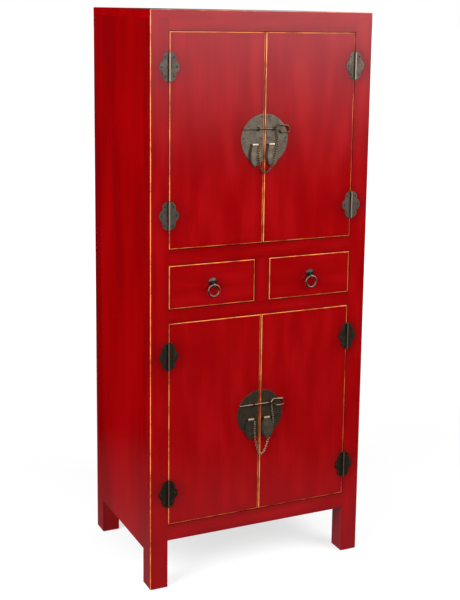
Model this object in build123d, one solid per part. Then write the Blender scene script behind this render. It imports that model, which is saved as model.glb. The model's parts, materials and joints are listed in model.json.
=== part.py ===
"""Tall red-lacquered wedding cabinet.

Four square posts stand on the floor and carry everything else.  The front is a flush frame of
rails and stiles that holds two tall upper doors, two drawers and two tall lower doors, all inset.
The hardware is aged brass: butt hinges nailed over the seams, a round lock plate in two halves on
each pair of doors, leaf pulls, a sliding lock pin on a chain, and a ring pull on each drawer.

Frame: millimetres, +Z up, +X to the right as one faces the doors, the doors face -Y.
The origin is on the floor at the centre of the four posts' footprint.
"""
from build123d import *
import os
from math import tan, radians

os.makedirs("parts", exist_ok=True)

# ---- carcass ------------------------------------------------------------------------------
WIDTH = 540.0            # over the posts, left to right
DEPTH = 386.0            # over the posts, front to back
HEIGHT = 1310.0          # floor to the top of the top board
POST_W = 42.0            # post, seen from the front
POST_D = 46.0            # post, seen from the side
TOP_T = 18.0             # top board
RAIL_T = 24.0            # front rails, apron and centre stile, front to back
TOP_RAIL_H = 26.0
UPPER_RAIL_H = 34.5      # rail between the upper doors and the drawers
LOWER_RAIL_H = 30.0      # rail between the drawers and the lower doors
APRON_H = 37.0
APRON_BOTTOM = 115.0     # floor to the underside of the apron
LOWER_OPENING = 475.0    # clear height of the lower door opening
DRAWER_OPENING = 100.5   # clear height of the drawer openings
CENTRE_STILE_W = 34.0
SIDE_T = 14.0            # side panels
SIDE_BOTTOM = 85.0       # floor to the underside of a side panel
TONGUE_T = 6.0           # tongue of a side panel in its post
TONGUE_SETBACK = 4.0     # from the outer face to the tongue
TONGUE_L = 8.0
BACK_T = 8.0             # back panel
BACK_RECESS = 6.0        # from the rear face of the posts to the back panel
BACK_TONGUE_L = 8.0      # how far the back panel runs into the posts
BACK_RAIL_T = 18.0
BACK_RAIL_H = 30.0
TENON_T = 8.0
TENON_L = 20.0
TENON_SHOULDER = 5.0     # above and below each rail's tenon
STILE_TENON_L = 10.0
STILE_TENON_W = 22.0
JOINT_FIT = 0.2          # glue clearance round a tenon or a tongue
FLOOR_T = 12.0           # compartment floors and the drawer deck
SHELF_T = 14.0
PARTITION_T = 16.0       # between the two drawers
CLEAT = 16.0             # square strips that carry floors and shelves
BOARD_FIT = 0.4          # clearance at the ends of loose boards
STOP_H = 10.0            # door stops
STOP_T = 14.0
STOP_GAP = 0.3           # from a closed door to its stop
ARRIS = 1.0              # eased outer edges
FOOT_EASE = 2.0          # eased edges under the feet

# ---- doors --------------------------------------------------------------------------------
DOOR_T = 18.0
DOOR_GAP = 1.5           # round each door in its opening
SEAM_GAP = 2.6           # between the two doors of a pair
FRONT_ARRIS = 1.2        # eased front edges of doors and drawer fronts

# ---- drawers ------------------------------------------------------------------------------
DRAWER_FRONT_T = 18.0
DRAWER_GAP = 1.5
DRAWER_BACK_GAP = 36.0   # from a closed drawer's box to the back rails
DRAWER_SIDE_T = 10.0
DRAWER_BACK_T = 10.0
DRAWER_BOTTOM_T = 6.0
DRAWER_BOTTOM_UP = 6.0   # from the lower edge of the sides to the bottom board
DRAWER_GROOVE = 4.0      # how far the bottom board runs into the sides
DRAWER_TOP_DROP = 12.0   # from the top of the front to the top of the box
DRAWER_SIDE_INSET = 1.5  # from the edge of the front to the box side
RUNNER_W = 16.0          # bearing width under a drawer side
RUNNER_H = 12.0
RUNNER_GUIDE_H = 18.0
RUNNER_GAP = 0.3         # running clearance under and beside a drawer

# ---- hinges -------------------------------------------------------------------------------
PLATE_T = 1.2            # sheet thickness of hinge leaves, lock plates and pulls
HINGE_H = 62.0           # height of a hinge
HINGE_REACH = 23.2       # from the barrel's axis to the tip of a leaf
HINGE_SHOULDER = 15.5    # reach of a leaf at its upper and lower lobes
HINGE_FLAT = 2.0         # straight top and foot of a leaf, beside the knuckles
HINGE_LOBE_IN = 2.6      # upper and lower lobes: how far their curve stands in from the shoulder
HINGE_LOBE_DOWN = 5.0    # and from the leaf's end
HINGE_NOTCH_AT = 0.43    # notch between two lobes, as a share of the leaf's half height
HINGE_NOTCH_H = 3.0
HINGE_NOTCH_IN = 0.8
HINGE_NAIL_TIP = 5.7     # middle nail, in from the leaf's tip
HINGE_NAIL_IN = 5.0      # outer nails, in from the shoulder
HINGE_NAIL_END = 10.5    # outer nails, in from the leaf's ends
HINGE_INSET = 76.0       # from the end of the door opening to the hinge centre
BARREL_R = 2.5
HINGE_PIN_R = 1.1
PIN_FIT = 0.1            # radial clearance of a hinge pin in its knuckles
BARREL_LIFT = 0.2        # from the wood to the back of the barrel
KNUCKLES = 5
KNUCKLE_GAP = 0.3
LEAF_GAP = 0.35          # from a leaf to the other leaf's knuckles
KNUCKLE_ROOT = 1.0       # how far a knuckle's strap runs into its leaf
PIN_HEAD_R = 2.1
PIN_HEAD_T = 1.0

# ---- nails --------------------------------------------------------------------------------
NAIL_R = 0.9
NAIL_L = 9.0
NAIL_HEAD_R = 1.9
NAIL_TAPER = 0.55        # top of a nail's head, as a share of its foot
NAIL_HEAD_T = 0.9
NAIL_FIT = 0.1

# ---- lock plates, staples, pins -----------------------------------------------------------
LOCK_R = 57.5            # round lock plate, both halves together
LOCK_DROP = 1.0          # below the middle of the door opening
LOCK_SETBACK = 3.6       # from the middle of the seam to a half plate's straight edge
LOBE_R = 11.5            # tail lobe of each half
LOBE_X = 20.5
LOBE_RISE = 9.0          # lobe's centre above the foot of the round
LOBE_FILLET = 8.0
NOTCH_R = 9.5            # arched notch at the foot of the seam
NOTCH_RISE = 0.5         # notch's centre above the foot of the round
LOCK_NAIL_X = 9.0        # nails beside the seam
LOCK_NAIL_RIM = 6.5      # upper nail, below the top of the round
LOCK_NAIL_MID = 3.0      # middle nails, above the plate's centre
LOCK_NAIL_EDGE = 5.5     # outer nail, in from the side of the round
LOCK_PIN_R = 1.6
LOCK_PIN_UP = 24.0       # pin above the plate's centre
LOCK_PIN_OVER = 0.5      # from the nail heads to the back of the pin
LOCK_PIN_SHORT = 4.5     # tip, in from the left side of the round
LOCK_PIN_POINT = 0.8     # bevel round the tip
LOCK_PIN_NECK = 27.5     # where the head begins, right of the seam
LOCK_PIN_BEND = 3.2
EYE_R = 1.1              # wire of the staples that hold the pin
EYE_FIT = 0.6            # pin in its staple
EYE_BEND = 0.6           # bend of a pin staple, as a share of its half width
EYE_LEFT_X = 17.0        # staple on the left half, from the seam
EYE_RIGHT_X = 23.0       # staple on the right half
STAPLE_DEPTH = 11.0      # how far a staple's legs go into the wood
STAPLE_FIT = 0.1

# ---- leaf pulls ---------------------------------------------------------------------------
PULL_LEFT_X = 24.0       # left pull, from the seam
PULL_RIGHT_X = 16.5      # right pull
PULL_DROP = 11.0         # pull's axis below the plate's centre
PULL_OVER = 0.4          # from the lock plate to the back of a pull's barrel
BAIL_R = 1.3             # wire of the staple that a pull hangs on
BAIL_HALF = 10.0         # half the distance between its legs
BAIL_BEND = 2.5
PULL_BARREL_R = 3.0
PULL_BARREL_HALF = 7.0
PULL_FIT = 0.1
PULL_LEN = 49.0          # axis to tip
PULL_HALF_W = 14.0
PULL_WIDEST = 23.0       # axis to the widest place
PULL_SHOULDER = 3.0      # straight sides under the barrel
PULL_TIP_HALF = 2.2      # rounded tip
PULL_TIP_RISE = 1.4
LOWER_RIGHT_HALF_W = 15.0
LOWER_RIGHT_TILT = 11.0  # this pull rests on the chain that runs behind it

# ---- chains -------------------------------------------------------------------------------
CHAIN_D = 4.6

# ---- ring pulls ---------------------------------------------------------------------------
RING_UP = 5.0            # rosette above the middle of the drawer front
RING_DROP = 5.0          # eye below the rosette's centre
RING_OUT = 9.4           # eye's axis in front of the wood
RING_R = 13.0            # ring, centreline
RING_WIRE_R = 2.0
RING_FIT = 0.35
RING_EYE_WALL = 1.5
RING_EYE_W = 4.4
ROSETTE_R = 10.0
ROSETTE_H = 4.2
ROSETTE_RIM = 1.2
ROSETTE_SHOULDER = (0.62, 0.82)   # a place on the dome, as shares of its radius and height
STEM_R = 2.0
STEM_FIT = 0.1
NUT_R = 5.0
NUT_T = 3.0
THROUGH = 2.0            # how far a drilled hole's tool runs past the wood

# ---- levels and planes that follow from the sizes above -------------------------------------
X_IN = WIDTH / 2 - POST_W                    # inner side of the posts, half width of the openings
Y_FRONT = -DEPTH / 2
Y_BACK = DEPTH / 2
Y_RAIL = Y_FRONT + RAIL_T                    # back of the front rails
Y_POST_F = Y_FRONT + POST_D                  # back of the front posts
Y_POST_B = Y_BACK - POST_D                   # front of the rear posts
Y_PANEL_B = Y_BACK - BACK_RECESS             # outer face of the back panel
Y_PANEL_F = Y_PANEL_B - BACK_T               # inner face of the back panel
Y_RAIL_B = Y_PANEL_F - BACK_RAIL_T           # front of the back rails
X_SIDE = WIDTH / 2 - SIDE_T                  # inner face of the side panels
Z_APRON = APRON_BOTTOM + APRON_H
Z_RAIL_1 = Z_APRON + LOWER_OPENING
Z_DRAWER = Z_RAIL_1 + LOWER_RAIL_H
Z_RAIL_2 = Z_DRAWER + DRAWER_OPENING
Z_UPPER = Z_RAIL_2 + UPPER_RAIL_H
Z_POST = HEIGHT - TOP_T
Z_TOP_RAIL = Z_POST - TOP_RAIL_H
Z_RUNNER = Z_DRAWER + DRAWER_GAP - RUNNER_GAP   # top of the drawer runners
Z_DECK = Z_RUNNER - RUNNER_H
BARREL_OUT = BARREL_R + BARREL_LIFT
HINGE_X = X_IN - DOOR_GAP / 2                # barrel axis over the middle of the gap
PULL_OUT = PLATE_T + PULL_OVER + PULL_BARREL_R                 # pull's axis in front of the wood
LOCK_PIN_OUT = PLATE_T + NAIL_HEAD_T + LOCK_PIN_OVER + LOCK_PIN_R   # pin's axis in front of the wood

# Elevation frame: x to the right, y up, z out of the cabinet's front face
FRONT = Pos(0, Y_FRONT, 0) * Rot(90, 0, 0)


def save(name, *pieces):
    """Write one node; several pieces go in as separate solids."""
    solids = []
    for piece in pieces:
        solids.extend(piece.solids())
    shape = solids[0] if len(solids) == 1 else Compound(children=solids)
    shape.label = name
    export_step(shape, os.path.join("parts", name + ".step"))


def block(x0, x1, y0, y1, z0, z1):
    return Pos((x0 + x1) / 2, (y0 + y1) / 2, (z0 + z1) / 2) * Box(x1 - x0, y1 - y0, z1 - z0)


def wire(points, bends, radius):
    """A round wire along straight runs joined by bends."""
    path = FilletPolyline(*points, radius=bends)
    section = Plane(origin=path @ 0, z_dir=path % 0) * Circle(radius)
    return sweep(section, path=path)


# ---- joinery: tenons on the rails and the mortises that take them ---------------------------
def tenon_span(y0, y1):
    middle = (y0 + y1) / 2
    return middle - TENON_T / 2, middle + TENON_T / 2


def rail(y0, y1, z0, z1):
    """A rail between two posts with a tenon on each end."""
    t0, t1 = tenon_span(y0, y1)
    bar = block(-X_IN, X_IN, y0, y1, z0, z1)
    tenon = block(-X_IN - TENON_L, X_IN + TENON_L, t0, t1, z0 + TENON_SHOULDER, z1 - TENON_SHOULDER)
    return bar + tenon


def mortise(y0, y1, z0, z1):
    """What a rail's tenons take out of the left and right posts."""
    t0, t1 = tenon_span(y0, y1)
    reach = X_IN + TENON_L + JOINT_FIT
    return block(-reach, reach, t0 - JOINT_FIT, t1 + JOINT_FIT,
                 z0 + TENON_SHOULDER - JOINT_FIT, z1 - TENON_SHOULDER + JOINT_FIT)


FRONT_RAILS = {
    "rail_front_top": (Y_FRONT, Y_RAIL, Z_TOP_RAIL, Z_POST),
    "rail_front_upper": (Y_FRONT, Y_RAIL, Z_RAIL_2, Z_UPPER),
    "rail_front_lower": (Y_FRONT, Y_RAIL, Z_RAIL_1, Z_DRAWER),
    "apron_front": (Y_FRONT, Y_RAIL, APRON_BOTTOM, Z_APRON),
}
Z_FLOOR_2 = Z_UPPER - FLOOR_T                # underside of the upper floor
Z_FLOOR_1 = Z_APRON - FLOOR_T                # underside of the lower floor
BACK_RAILS = [
    (Y_RAIL_B, Y_PANEL_F, Z_POST - BACK_RAIL_H, Z_POST),
    (Y_RAIL_B, Y_PANEL_F, Z_FLOOR_2 - BACK_RAIL_H, Z_FLOOR_2),
    (Y_RAIL_B, Y_PANEL_F, Z_FLOOR_1 - BACK_RAIL_H, Z_FLOOR_1),
]


def side_groove(sx, grow):
    """The band of a side panel's tongue, as a pair of x values."""
    outer = WIDTH / 2 - TONGUE_SETBACK + grow
    inner = WIDTH / 2 - TONGUE_SETBACK - TONGUE_T - grow
    return (inner, outer) if sx > 0 else (-outer, -inner)


def post(sx, sy, nail_holes):
    """A square post, eased at its outer corner and under its foot, with all its joints cut."""
    xa, xb = sorted((sx * X_IN, sx * WIDTH / 2))
    ya, yb = (Y_FRONT, Y_POST_F) if sy < 0 else (Y_POST_B, Y_BACK)
    body = block(xa, xb, ya, yb, 0, Z_POST)
    corner = Vector(sx * WIDTH / 2, sy * DEPTH / 2, Z_POST / 2)
    body = chamfer(body.faces().sort_by(Axis.Z)[0].edges(), FOOT_EASE)
    body = chamfer(body.edges().filter_by(Axis.Z).sort_by_distance(corner)[0], ARRIS)
    rails = FRONT_RAILS.values() if sy < 0 else BACK_RAILS
    for spec in rails:
        body -= mortise(*spec)
    ga, gb = side_groove(sx, JOINT_FIT)
    depth = TONGUE_L + JOINT_FIT
    if sy < 0:
        body -= block(ga, gb, Y_POST_F - depth, Y_POST_F, SIDE_BOTTOM - JOINT_FIT, Z_POST)
    else:
        body -= block(ga, gb, Y_POST_B, Y_POST_B + depth, SIDE_BOTTOM - JOINT_FIT, Z_POST)
        reach = X_IN + BACK_TONGUE_L + JOINT_FIT
        body -= block(-reach, reach, Y_PANEL_F - JOINT_FIT, Y_PANEL_B + JOINT_FIT,
                      SIDE_BOTTOM - JOINT_FIT, Z_POST)
    for hole in nail_holes:
        body -= hole
    return body


def side_panel(sx):
    """Flush between two posts, with a tongue in each."""
    xa, xb = sorted((sx * X_SIDE, sx * WIDTH / 2))
    body = block(xa, xb, Y_POST_F, Y_POST_B, SIDE_BOTTOM, Z_POST)
    ta, tb = side_groove(sx, 0.0)
    return body + block(ta, tb, Y_POST_F - TONGUE_L, Y_POST_B + TONGUE_L, SIDE_BOTTOM, Z_POST)


def posts_cut(board):
    """Notch a board round whichever posts it meets."""
    for sx in (-1, 1):
        xa, xb = sorted((sx * (X_IN - BOARD_FIT), sx * WIDTH / 2))
        board -= block(xa, xb, Y_FRONT, Y_POST_F + BOARD_FIT, 0, HEIGHT)
        board -= block(xa, xb, Y_POST_B - BOARD_FIT, Y_BACK, 0, HEIGHT)
    return board


def floor_board(z0, y0, thickness):
    reach = X_SIDE - BOARD_FIT
    return posts_cut(block(-reach, reach, y0, Y_PANEL_F - BOARD_FIT, z0, z0 + thickness))


# ---- nails and their holes, in the elevation frame ------------------------------------------
def nail(x, z):
    shank = Pos(x, z, PLATE_T - NAIL_L / 2) * Cylinder(NAIL_R, NAIL_L)
    head = Pos(x, z, PLATE_T + NAIL_HEAD_T / 2) * Cone(NAIL_HEAD_R, NAIL_HEAD_R * NAIL_TAPER, NAIL_HEAD_T)
    return FRONT * (shank + head)


def bore(x, z, radius, depth, front=0.0):
    """A round hole from a plane in front of the wood straight back into it."""
    return FRONT * Pos(x, z, front - (depth + front) / 2) * Cylinder(radius, depth + front)


def nail_hole(x, z):
    return bore(x, z, NAIL_R + NAIL_FIT, NAIL_L - PLATE_T + NAIL_FIT)


# ---- hinges ---------------------------------------------------------------------------------
NAIL_U = HINGE_SHOULDER - HINGE_NAIL_IN
NAIL_V = HINGE_H / 2 - HINGE_NAIL_END
HINGE_NAILS = [(HINGE_REACH - HINGE_NAIL_TIP, 0.0), (NAIL_U, NAIL_V), (NAIL_U, -NAIL_V)]


def hinge_outline(cx, cz, side):
    """Lobed leaf: a wide middle lobe between two narrower ones."""
    near = BARREL_R + LEAF_GAP
    flat = near + HINGE_FLAT
    half = HINGE_H / 2
    notch = half * HINGE_NOTCH_AT
    lobe_foot = notch + HINGE_NOTCH_H
    shoulder = HINGE_SHOULDER
    lobe_in = shoulder - HINGE_LOBE_IN
    lobe_up = half - HINGE_LOBE_DOWN
    notch_in = shoulder - HINGE_NOTCH_IN

    def at(u, v):
        return (cx + side * u, cz + v)

    edges = [
        Line(at(near, -half), at(near, half)),
        Line(at(near, half), at(flat, half)),
        ThreePointArc(at(flat, half), at(lobe_in, lobe_up), at(shoulder, lobe_foot)),
        Line(at(shoulder, lobe_foot), at(notch_in, notch)),
        ThreePointArc(at(notch_in, notch), at(HINGE_REACH, 0), at(notch_in, -notch)),
        Line(at(notch_in, -notch), at(shoulder, -lobe_foot)),
        ThreePointArc(at(shoulder, -lobe_foot), at(lobe_in, -lobe_up), at(flat, -half)),
        Line(at(flat, -half), at(near, -half)),
    ]
    return make_face(edges)


def hinge_leaf(cx, cz, side, turns):
    """A leaf with its own knuckles; turns lists which of the five are its own."""
    leaf = extrude(hinge_outline(cx, cz, side), amount=PLATE_T, dir=(0, 0, 1))
    pitch = HINGE_H / KNUCKLES
    for turn in turns:
        v0 = cz - HINGE_H / 2 + turn * pitch + KNUCKLE_GAP / 2
        v1 = v0 + pitch - KNUCKLE_GAP
        xa, xb = sorted((cx, cx + side * (BARREL_R + LEAF_GAP + KNUCKLE_ROOT)))
        leaf += block(xa, xb, v0, v1, 0, PLATE_T)
        leaf += Pos(cx, (v0 + v1) / 2, BARREL_OUT) * Rot(90, 0, 0) * Cylinder(BARREL_R, v1 - v0)
    bored = Pos(cx, cz, BARREL_OUT) * Rot(90, 0, 0) * Cylinder(HINGE_PIN_R + PIN_FIT, 2 * HINGE_H)
    leaf -= bored
    for u, v in HINGE_NAILS:
        leaf -= Pos(cx + side * u, cz + v, 0) * Cylinder(NAIL_R + NAIL_FIT, 4 * PLATE_T)
    return FRONT * leaf


def hinge_pin(cx, cz):
    """A straight pin with a small head above and below the barrel."""
    half = HINGE_H / 2
    rod = Cylinder(HINGE_PIN_R, HINGE_H + 2 * KNUCKLE_GAP)
    offset = half + KNUCKLE_GAP + PIN_HEAD_T / 2
    ends = Pos(0, 0, offset) * Cylinder(PIN_HEAD_R, PIN_HEAD_T)
    ends += Pos(0, 0, -offset) * Cylinder(PIN_HEAD_R, PIN_HEAD_T)
    return FRONT * Pos(cx, cz, BARREL_OUT) * Rot(90, 0, 0) * (rod + ends)


FRAME_TURNS = range(0, KNUCKLES, 2)
DOOR_TURNS = range(1, KNUCKLES, 2)

# ---- the four doors -------------------------------------------------------------------------
LOCK_Z = {"upper": (Z_UPPER + Z_TOP_RAIL) / 2 - LOCK_DROP, "lower": (Z_APRON + Z_RAIL_1) / 2 - LOCK_DROP}
OPENING = {"upper": (Z_UPPER, Z_TOP_RAIL), "lower": (Z_APRON, Z_RAIL_1)}
SIDES = {"left": -1, "right": 1}
EYE_X = {"left": -EYE_LEFT_X, "right": EYE_RIGHT_X}
PULL_X = {"left": -PULL_LEFT_X, "right": PULL_RIGHT_X}
EYE_HALF = LOCK_PIN_R + EYE_FIT + EYE_R                    # leg to pin axis
EYE_OUT = LOCK_PIN_OUT + LOCK_PIN_R + EYE_FIT + EYE_R      # bridge of the staple


def hinge_heights(level):
    z0, z1 = OPENING[level]
    return z0 + HINGE_INSET, z1 - HINGE_INSET


def lock_nails(sx, zc):
    """Two nails beside the seam and one at the side of the round."""
    z_top = zc + LOCK_R - LOCK_NAIL_RIM
    z_mid = zc + LOCK_NAIL_MID
    return [(sx * LOCK_NAIL_X, z_top), (sx * LOCK_NAIL_X, z_mid), (sx * (LOCK_R - LOCK_NAIL_EDGE), z_mid)]


def staple_legs(level, side):
    """Where the legs of a door's two staples go in: (x, z, wire radius)."""
    zc = LOCK_Z[level]
    eye = EYE_X[side]
    pull = PULL_X[side]
    za = zc + LOCK_PIN_UP
    zp = zc - PULL_DROP
    return [(eye, za + EYE_HALF, EYE_R), (eye, za - EYE_HALF, EYE_R),
            (pull - BAIL_HALF, zp, BAIL_R), (pull + BAIL_HALF, zp, BAIL_R)]


def lock_half(level, side):
    """Half of the round plate, with its tail lobe and its half of the notch."""
    sx = SIDES[side]
    zc = LOCK_Z[level]
    lobe_z = LOBE_RISE - LOCK_R
    shape = Circle(LOCK_R) + Pos(sx * LOBE_X, lobe_z) * Circle(LOBE_R)
    shape &= Pos(sx * (LOCK_SETBACK + LOCK_R), 0) * Rectangle(2 * LOCK_R, 4 * LOCK_R)
    joint = Vector(sx * LOCK_R, lobe_z + LOBE_R)
    shape = fillet(shape.vertices().sort_by_distance(joint)[0], LOBE_FILLET)
    shape -= Pos(0, NOTCH_RISE - LOCK_R) * Circle(NOTCH_R)
    plate = Pos(0, zc) * extrude(shape, amount=PLATE_T, dir=(0, 0, 1))
    for x, z in lock_nails(sx, zc):
        plate -= Pos(x, z, 0) * Cylinder(NAIL_R + NAIL_FIT, 4 * PLATE_T)
    for x, z, radius in staple_legs(level, side):
        plate -= Pos(x, z, 0) * Cylinder(radius + STAPLE_FIT, 4 * PLATE_T)
    return FRONT * plate


def staple(a, b, out, bend, radius):
    """A bent wire: in at a, across in front of the wood, and in again at b."""
    points = [(a[0], a[1], -STAPLE_DEPTH), (a[0], a[1], out), (b[0], b[1], out), (b[0], b[1], -STAPLE_DEPTH)]
    return FRONT * wire(points, bend, radius)


def door_panel(level, side):
    """One board, eased round its front edges, drilled for its nails and staples."""
    sx = SIDES[side]
    z0, z1 = OPENING[level]
    xa, xb = sorted((sx * SEAM_GAP / 2, sx * (X_IN - DOOR_GAP)))
    body = block(xa, xb, Y_FRONT, Y_FRONT + DOOR_T, z0 + DOOR_GAP, z1 - DOOR_GAP)
    body = chamfer(body.faces().sort_by(Axis.Y)[0].edges(), FRONT_ARRIS)
    for zh in hinge_heights(level):
        for u, v in HINGE_NAILS:
            body -= nail_hole(sx * (HINGE_X - u), zh + v)
    for x, z in lock_nails(sx, LOCK_Z[level]):
        body -= nail_hole(x, z)
    for x, z, radius in staple_legs(level, side):
        body -= bore(x, z, radius + STAPLE_FIT, STAPLE_DEPTH + STAPLE_FIT)
    return body


def pull(level, side):
    """A leaf of sheet brass rolled round its staple at the top."""
    half = PULL_BARREL_HALF
    half_w, tilt = ODD_PULLS.get((level, side), (PULL_HALF_W, 0.0))
    shoulder = -PULL_SHOULDER
    tip = PULL_TIP_HALF
    tip_z = PULL_TIP_RISE - PULL_LEN
    edges = [
        Line((-half, 0), (half, 0)),
        Line((half, 0), (half, shoulder)),
        ThreePointArc((half, shoulder), (half_w, -PULL_WIDEST), (tip, tip_z)),
        ThreePointArc((tip, tip_z), (0, -PULL_LEN), (-tip, tip_z)),
        ThreePointArc((-tip, tip_z), (-half_w, -PULL_WIDEST), (-half, shoulder)),
        Line((-half, shoulder), (-half, 0)),
    ]
    leaf = Pos(0, 0, -PULL_BARREL_R) * extrude(make_face(edges), amount=PLATE_T, dir=(0, 0, 1))
    leaf += Rot(0, 90, 0) * Cylinder(PULL_BARREL_R, 2 * half)
    leaf -= Rot(0, 90, 0) * Cylinder(BAIL_R + PULL_FIT, 4 * half)
    zp = LOCK_Z[level] - PULL_DROP
    return FRONT * Pos(PULL_X[side], zp, PULL_OUT) * Rot(-tilt, 0, 0) * leaf


ODD_PULLS = {("lower", "right"): (LOWER_RIGHT_HALF_W, LOWER_RIGHT_TILT)}

for level in ("upper", "lower"):
    for side, sx in SIDES.items():
        tag = level + "_" + side
        zc = LOCK_Z[level]
        za = zc + LOCK_PIN_UP
        zp = zc - PULL_DROP
        save("door_" + tag, door_panel(level, side))
        leaves = [hinge_leaf(sx * HINGE_X, zh, -sx, DOOR_TURNS) for zh in hinge_heights(level)]
        save("hinge_leaves_" + tag, *leaves)
        spots = [(sx * (HINGE_X - u), zh + v) for zh in hinge_heights(level) for u, v in HINGE_NAILS]
        spots += lock_nails(sx, zc)
        save("nails_" + tag, *[nail(x, z) for x, z in spots])
        save("lock_plate_" + tag, lock_half(level, side))
        xe = EYE_X[side]
        xp = PULL_X[side]
        eye = staple((xe, za + EYE_HALF), (xe, za - EYE_HALF), EYE_OUT, EYE_HALF * EYE_BEND, EYE_R)
        bail = staple((xp - BAIL_HALF, zp), (xp + BAIL_HALF, zp), PULL_OUT, BAIL_BEND, BAIL_R)
        save("staples_" + tag, eye, bail)
        save("pull_" + tag, pull(level, side))

# ---- lock pins: a rod with its end bent into a flat loop ---------------------------------------
LOOP = [(5.5, 8.0), (29.5, 6.0), (33.5, -8.5), (13.0, -9.2), (8.2, -4.2)]   # from the neck


def lock_pin(level):
    zp = LOCK_Z[level] + LOCK_PIN_UP
    points = [(LOCK_PIN_SHORT - LOCK_R, zp, LOCK_PIN_OUT), (LOCK_PIN_NECK, zp, LOCK_PIN_OUT)]
    points += [(LOCK_PIN_NECK + u, zp + v, LOCK_PIN_OUT) for u, v in LOOP]
    rod = wire(points, LOCK_PIN_BEND, LOCK_PIN_R)
    tip = rod.faces().sort_by(Axis.X)[0]
    return FRONT * chamfer(tip.edges(), LOCK_PIN_POINT)


save("lock_pin_upper", lock_pin("upper"))
save("lock_pin_lower", lock_pin("lower"))

# ---- chains, as the round space that the links fill: from the pin's neck to the left pull -------
# points are x from the seam, height from the plate's centre, distance out of the wood
CHAIN_UPPER = [(27.8, 22.0, 4.3), (30.6, 9.0, 4.4), (30.6, -7.0, 4.6), (28.0, -22.0, 6.0), (24.0, -37.0, 6.4),
               (20.5, -51.0, 6.2), (14.0, -66.0, 5.4), (2.5, -76.5, 4.6), (-8.5, -69.0, 4.8),
               (-13.5, -55.0, 6.2), (-16.5, -41.0, 6.5), (-16.8, -26.0, 6.4), (-14.2, -12.8, 5.9)]
CHAIN_LOWER = [(27.8, 22.0, 4.3), (30.6, 8.0, 4.0), (31.6, -7.0, 3.9), (34.2, -21.0, 3.9), (33.4, -35.0, 3.8),
               (28.0, -49.0, 4.3), (22.2, -62.0, 4.5), (18.0, -74.5, 4.4), (15.0, -86.0, 4.2),
               (8.6, -97.5, 4.0), (-1.0, -97.8, 4.1), (-6.6, -86.0, 4.4), (-10.0, -74.4, 4.9),
               (-12.5, -62.6, 5.7), (-14.3, -50.2, 6.3), (-15.5, -37.2, 6.5), (-15.6, -24.7, 6.4),
               (-14.2, -12.8, 5.9)]


def chain_radii(points):
    """Each bend as large as the shorter of its two runs allows."""
    radii = []
    for i in range(1, len(points) - 1):
        a = Vector(*points[i]) - Vector(*points[i - 1])
        b = Vector(*points[i + 1]) - Vector(*points[i])
        turn = radians(a.get_angle(b))
        radii.append(0.45 * min(a.length, b.length) / tan(turn / 2))
    return radii


def chain(level, points):
    placed = [(x, LOCK_Z[level] + z, out) for x, z, out in points]
    radii = chain_radii(placed)
    path = FilletPolyline(*placed, radius=radii)
    section = Plane(origin=path @ 0, z_dir=path % 0) * Circle(CHAIN_D / 2)
    tube = sweep(section, path=path)
    filled = tube.volume / (Circle(CHAIN_D / 2).area * path.length)
    print("chain", level, "length %.1f" % path.length, "volume over section x length %.4f" % filled)
    print("  radii", " ".join("%.1f" % r for r in radii))
    return FRONT * tube


save("chain_upper", chain("upper", CHAIN_UPPER))
save("chain_lower", chain("lower", CHAIN_LOWER))

# ---- drawers ------------------------------------------------------------------------------------
RING_EYE_R = RING_WIRE_R + RING_FIT + RING_EYE_WALL


def drawer_span(sx):
    """Clear opening of a drawer, left to right."""
    return sorted((sx * CENTRE_STILE_W / 2, sx * X_IN))


def neck(a, b):
    """A straight rod from a to b."""
    run = Vector(*b) - Vector(*a)
    return Plane(origin=a, z_dir=run) * Pos(0, 0, run.length / 2) * Cylinder(STEM_R, run.length)


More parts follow.
